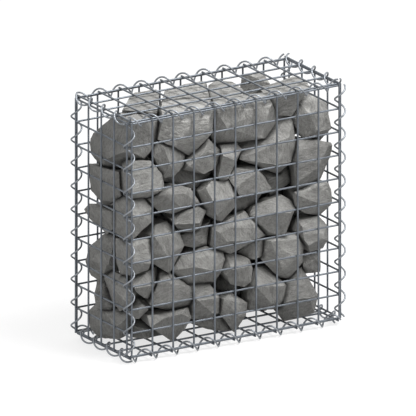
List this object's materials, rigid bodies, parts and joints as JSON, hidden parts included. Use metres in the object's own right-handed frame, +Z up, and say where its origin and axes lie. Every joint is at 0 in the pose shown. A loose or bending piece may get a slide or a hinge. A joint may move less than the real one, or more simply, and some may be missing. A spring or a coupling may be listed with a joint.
{
  "type": "gabion wall",
  "caption": "Gabion wall basket: welded wire mesh panels laced along every edge with wire spirals and packed with angular broken stone.",
  "frame": {"origin": "middle of the basket: halfway along its length, through its depth and up its height", "axes": "+X along the wall to the right as seen from the front, +Y from the front face to the back, +Z up"},
  "size_m": [0.533, 0.233, 0.5316],
  "materials": {
    "mesh_wire": "galvanised, dull",
    "spiral_wire": "galvanised, bright",
    "stone": "rough broken rock"
  },
  "bodies": {
    "root": {"back_left_spiral": "spiral_wire", "back_panel": "mesh_wire", "back_right_spiral": "spiral_wire", "back_stones_1": "stone", "back_stones_2": "stone", "back_stones_3": "stone", "back_stones_4": "stone", "back_stones_5": "stone", "back_stones_6": "stone", "base_panel": "mesh_wire", "bottom_back_spiral": "spiral_wire", "bottom_front_spiral": "spiral_wire", "bottom_left_spiral": "spiral_wire", "bottom_right_spiral": "spiral_wire", "front_left_spiral": "spiral_wire", "front_panel": "mesh_wire", "front_right_spiral": "spiral_wire", "front_stones_1": "stone", "front_stones_2": "stone", "front_stones_3": "stone", "front_stones_4": "stone", "front_stones_5": "stone", "front_stones_6": "stone", "left_panel": "mesh_wire", "lid_panel": "mesh_wire", "right_panel": "mesh_wire", "top_back_spiral": "spiral_wire", "top_front_spiral": "spiral_wire", "top_left_spiral": "spiral_wire", "top_right_spiral": "spiral_wire"}
  },
  "joints": []
}
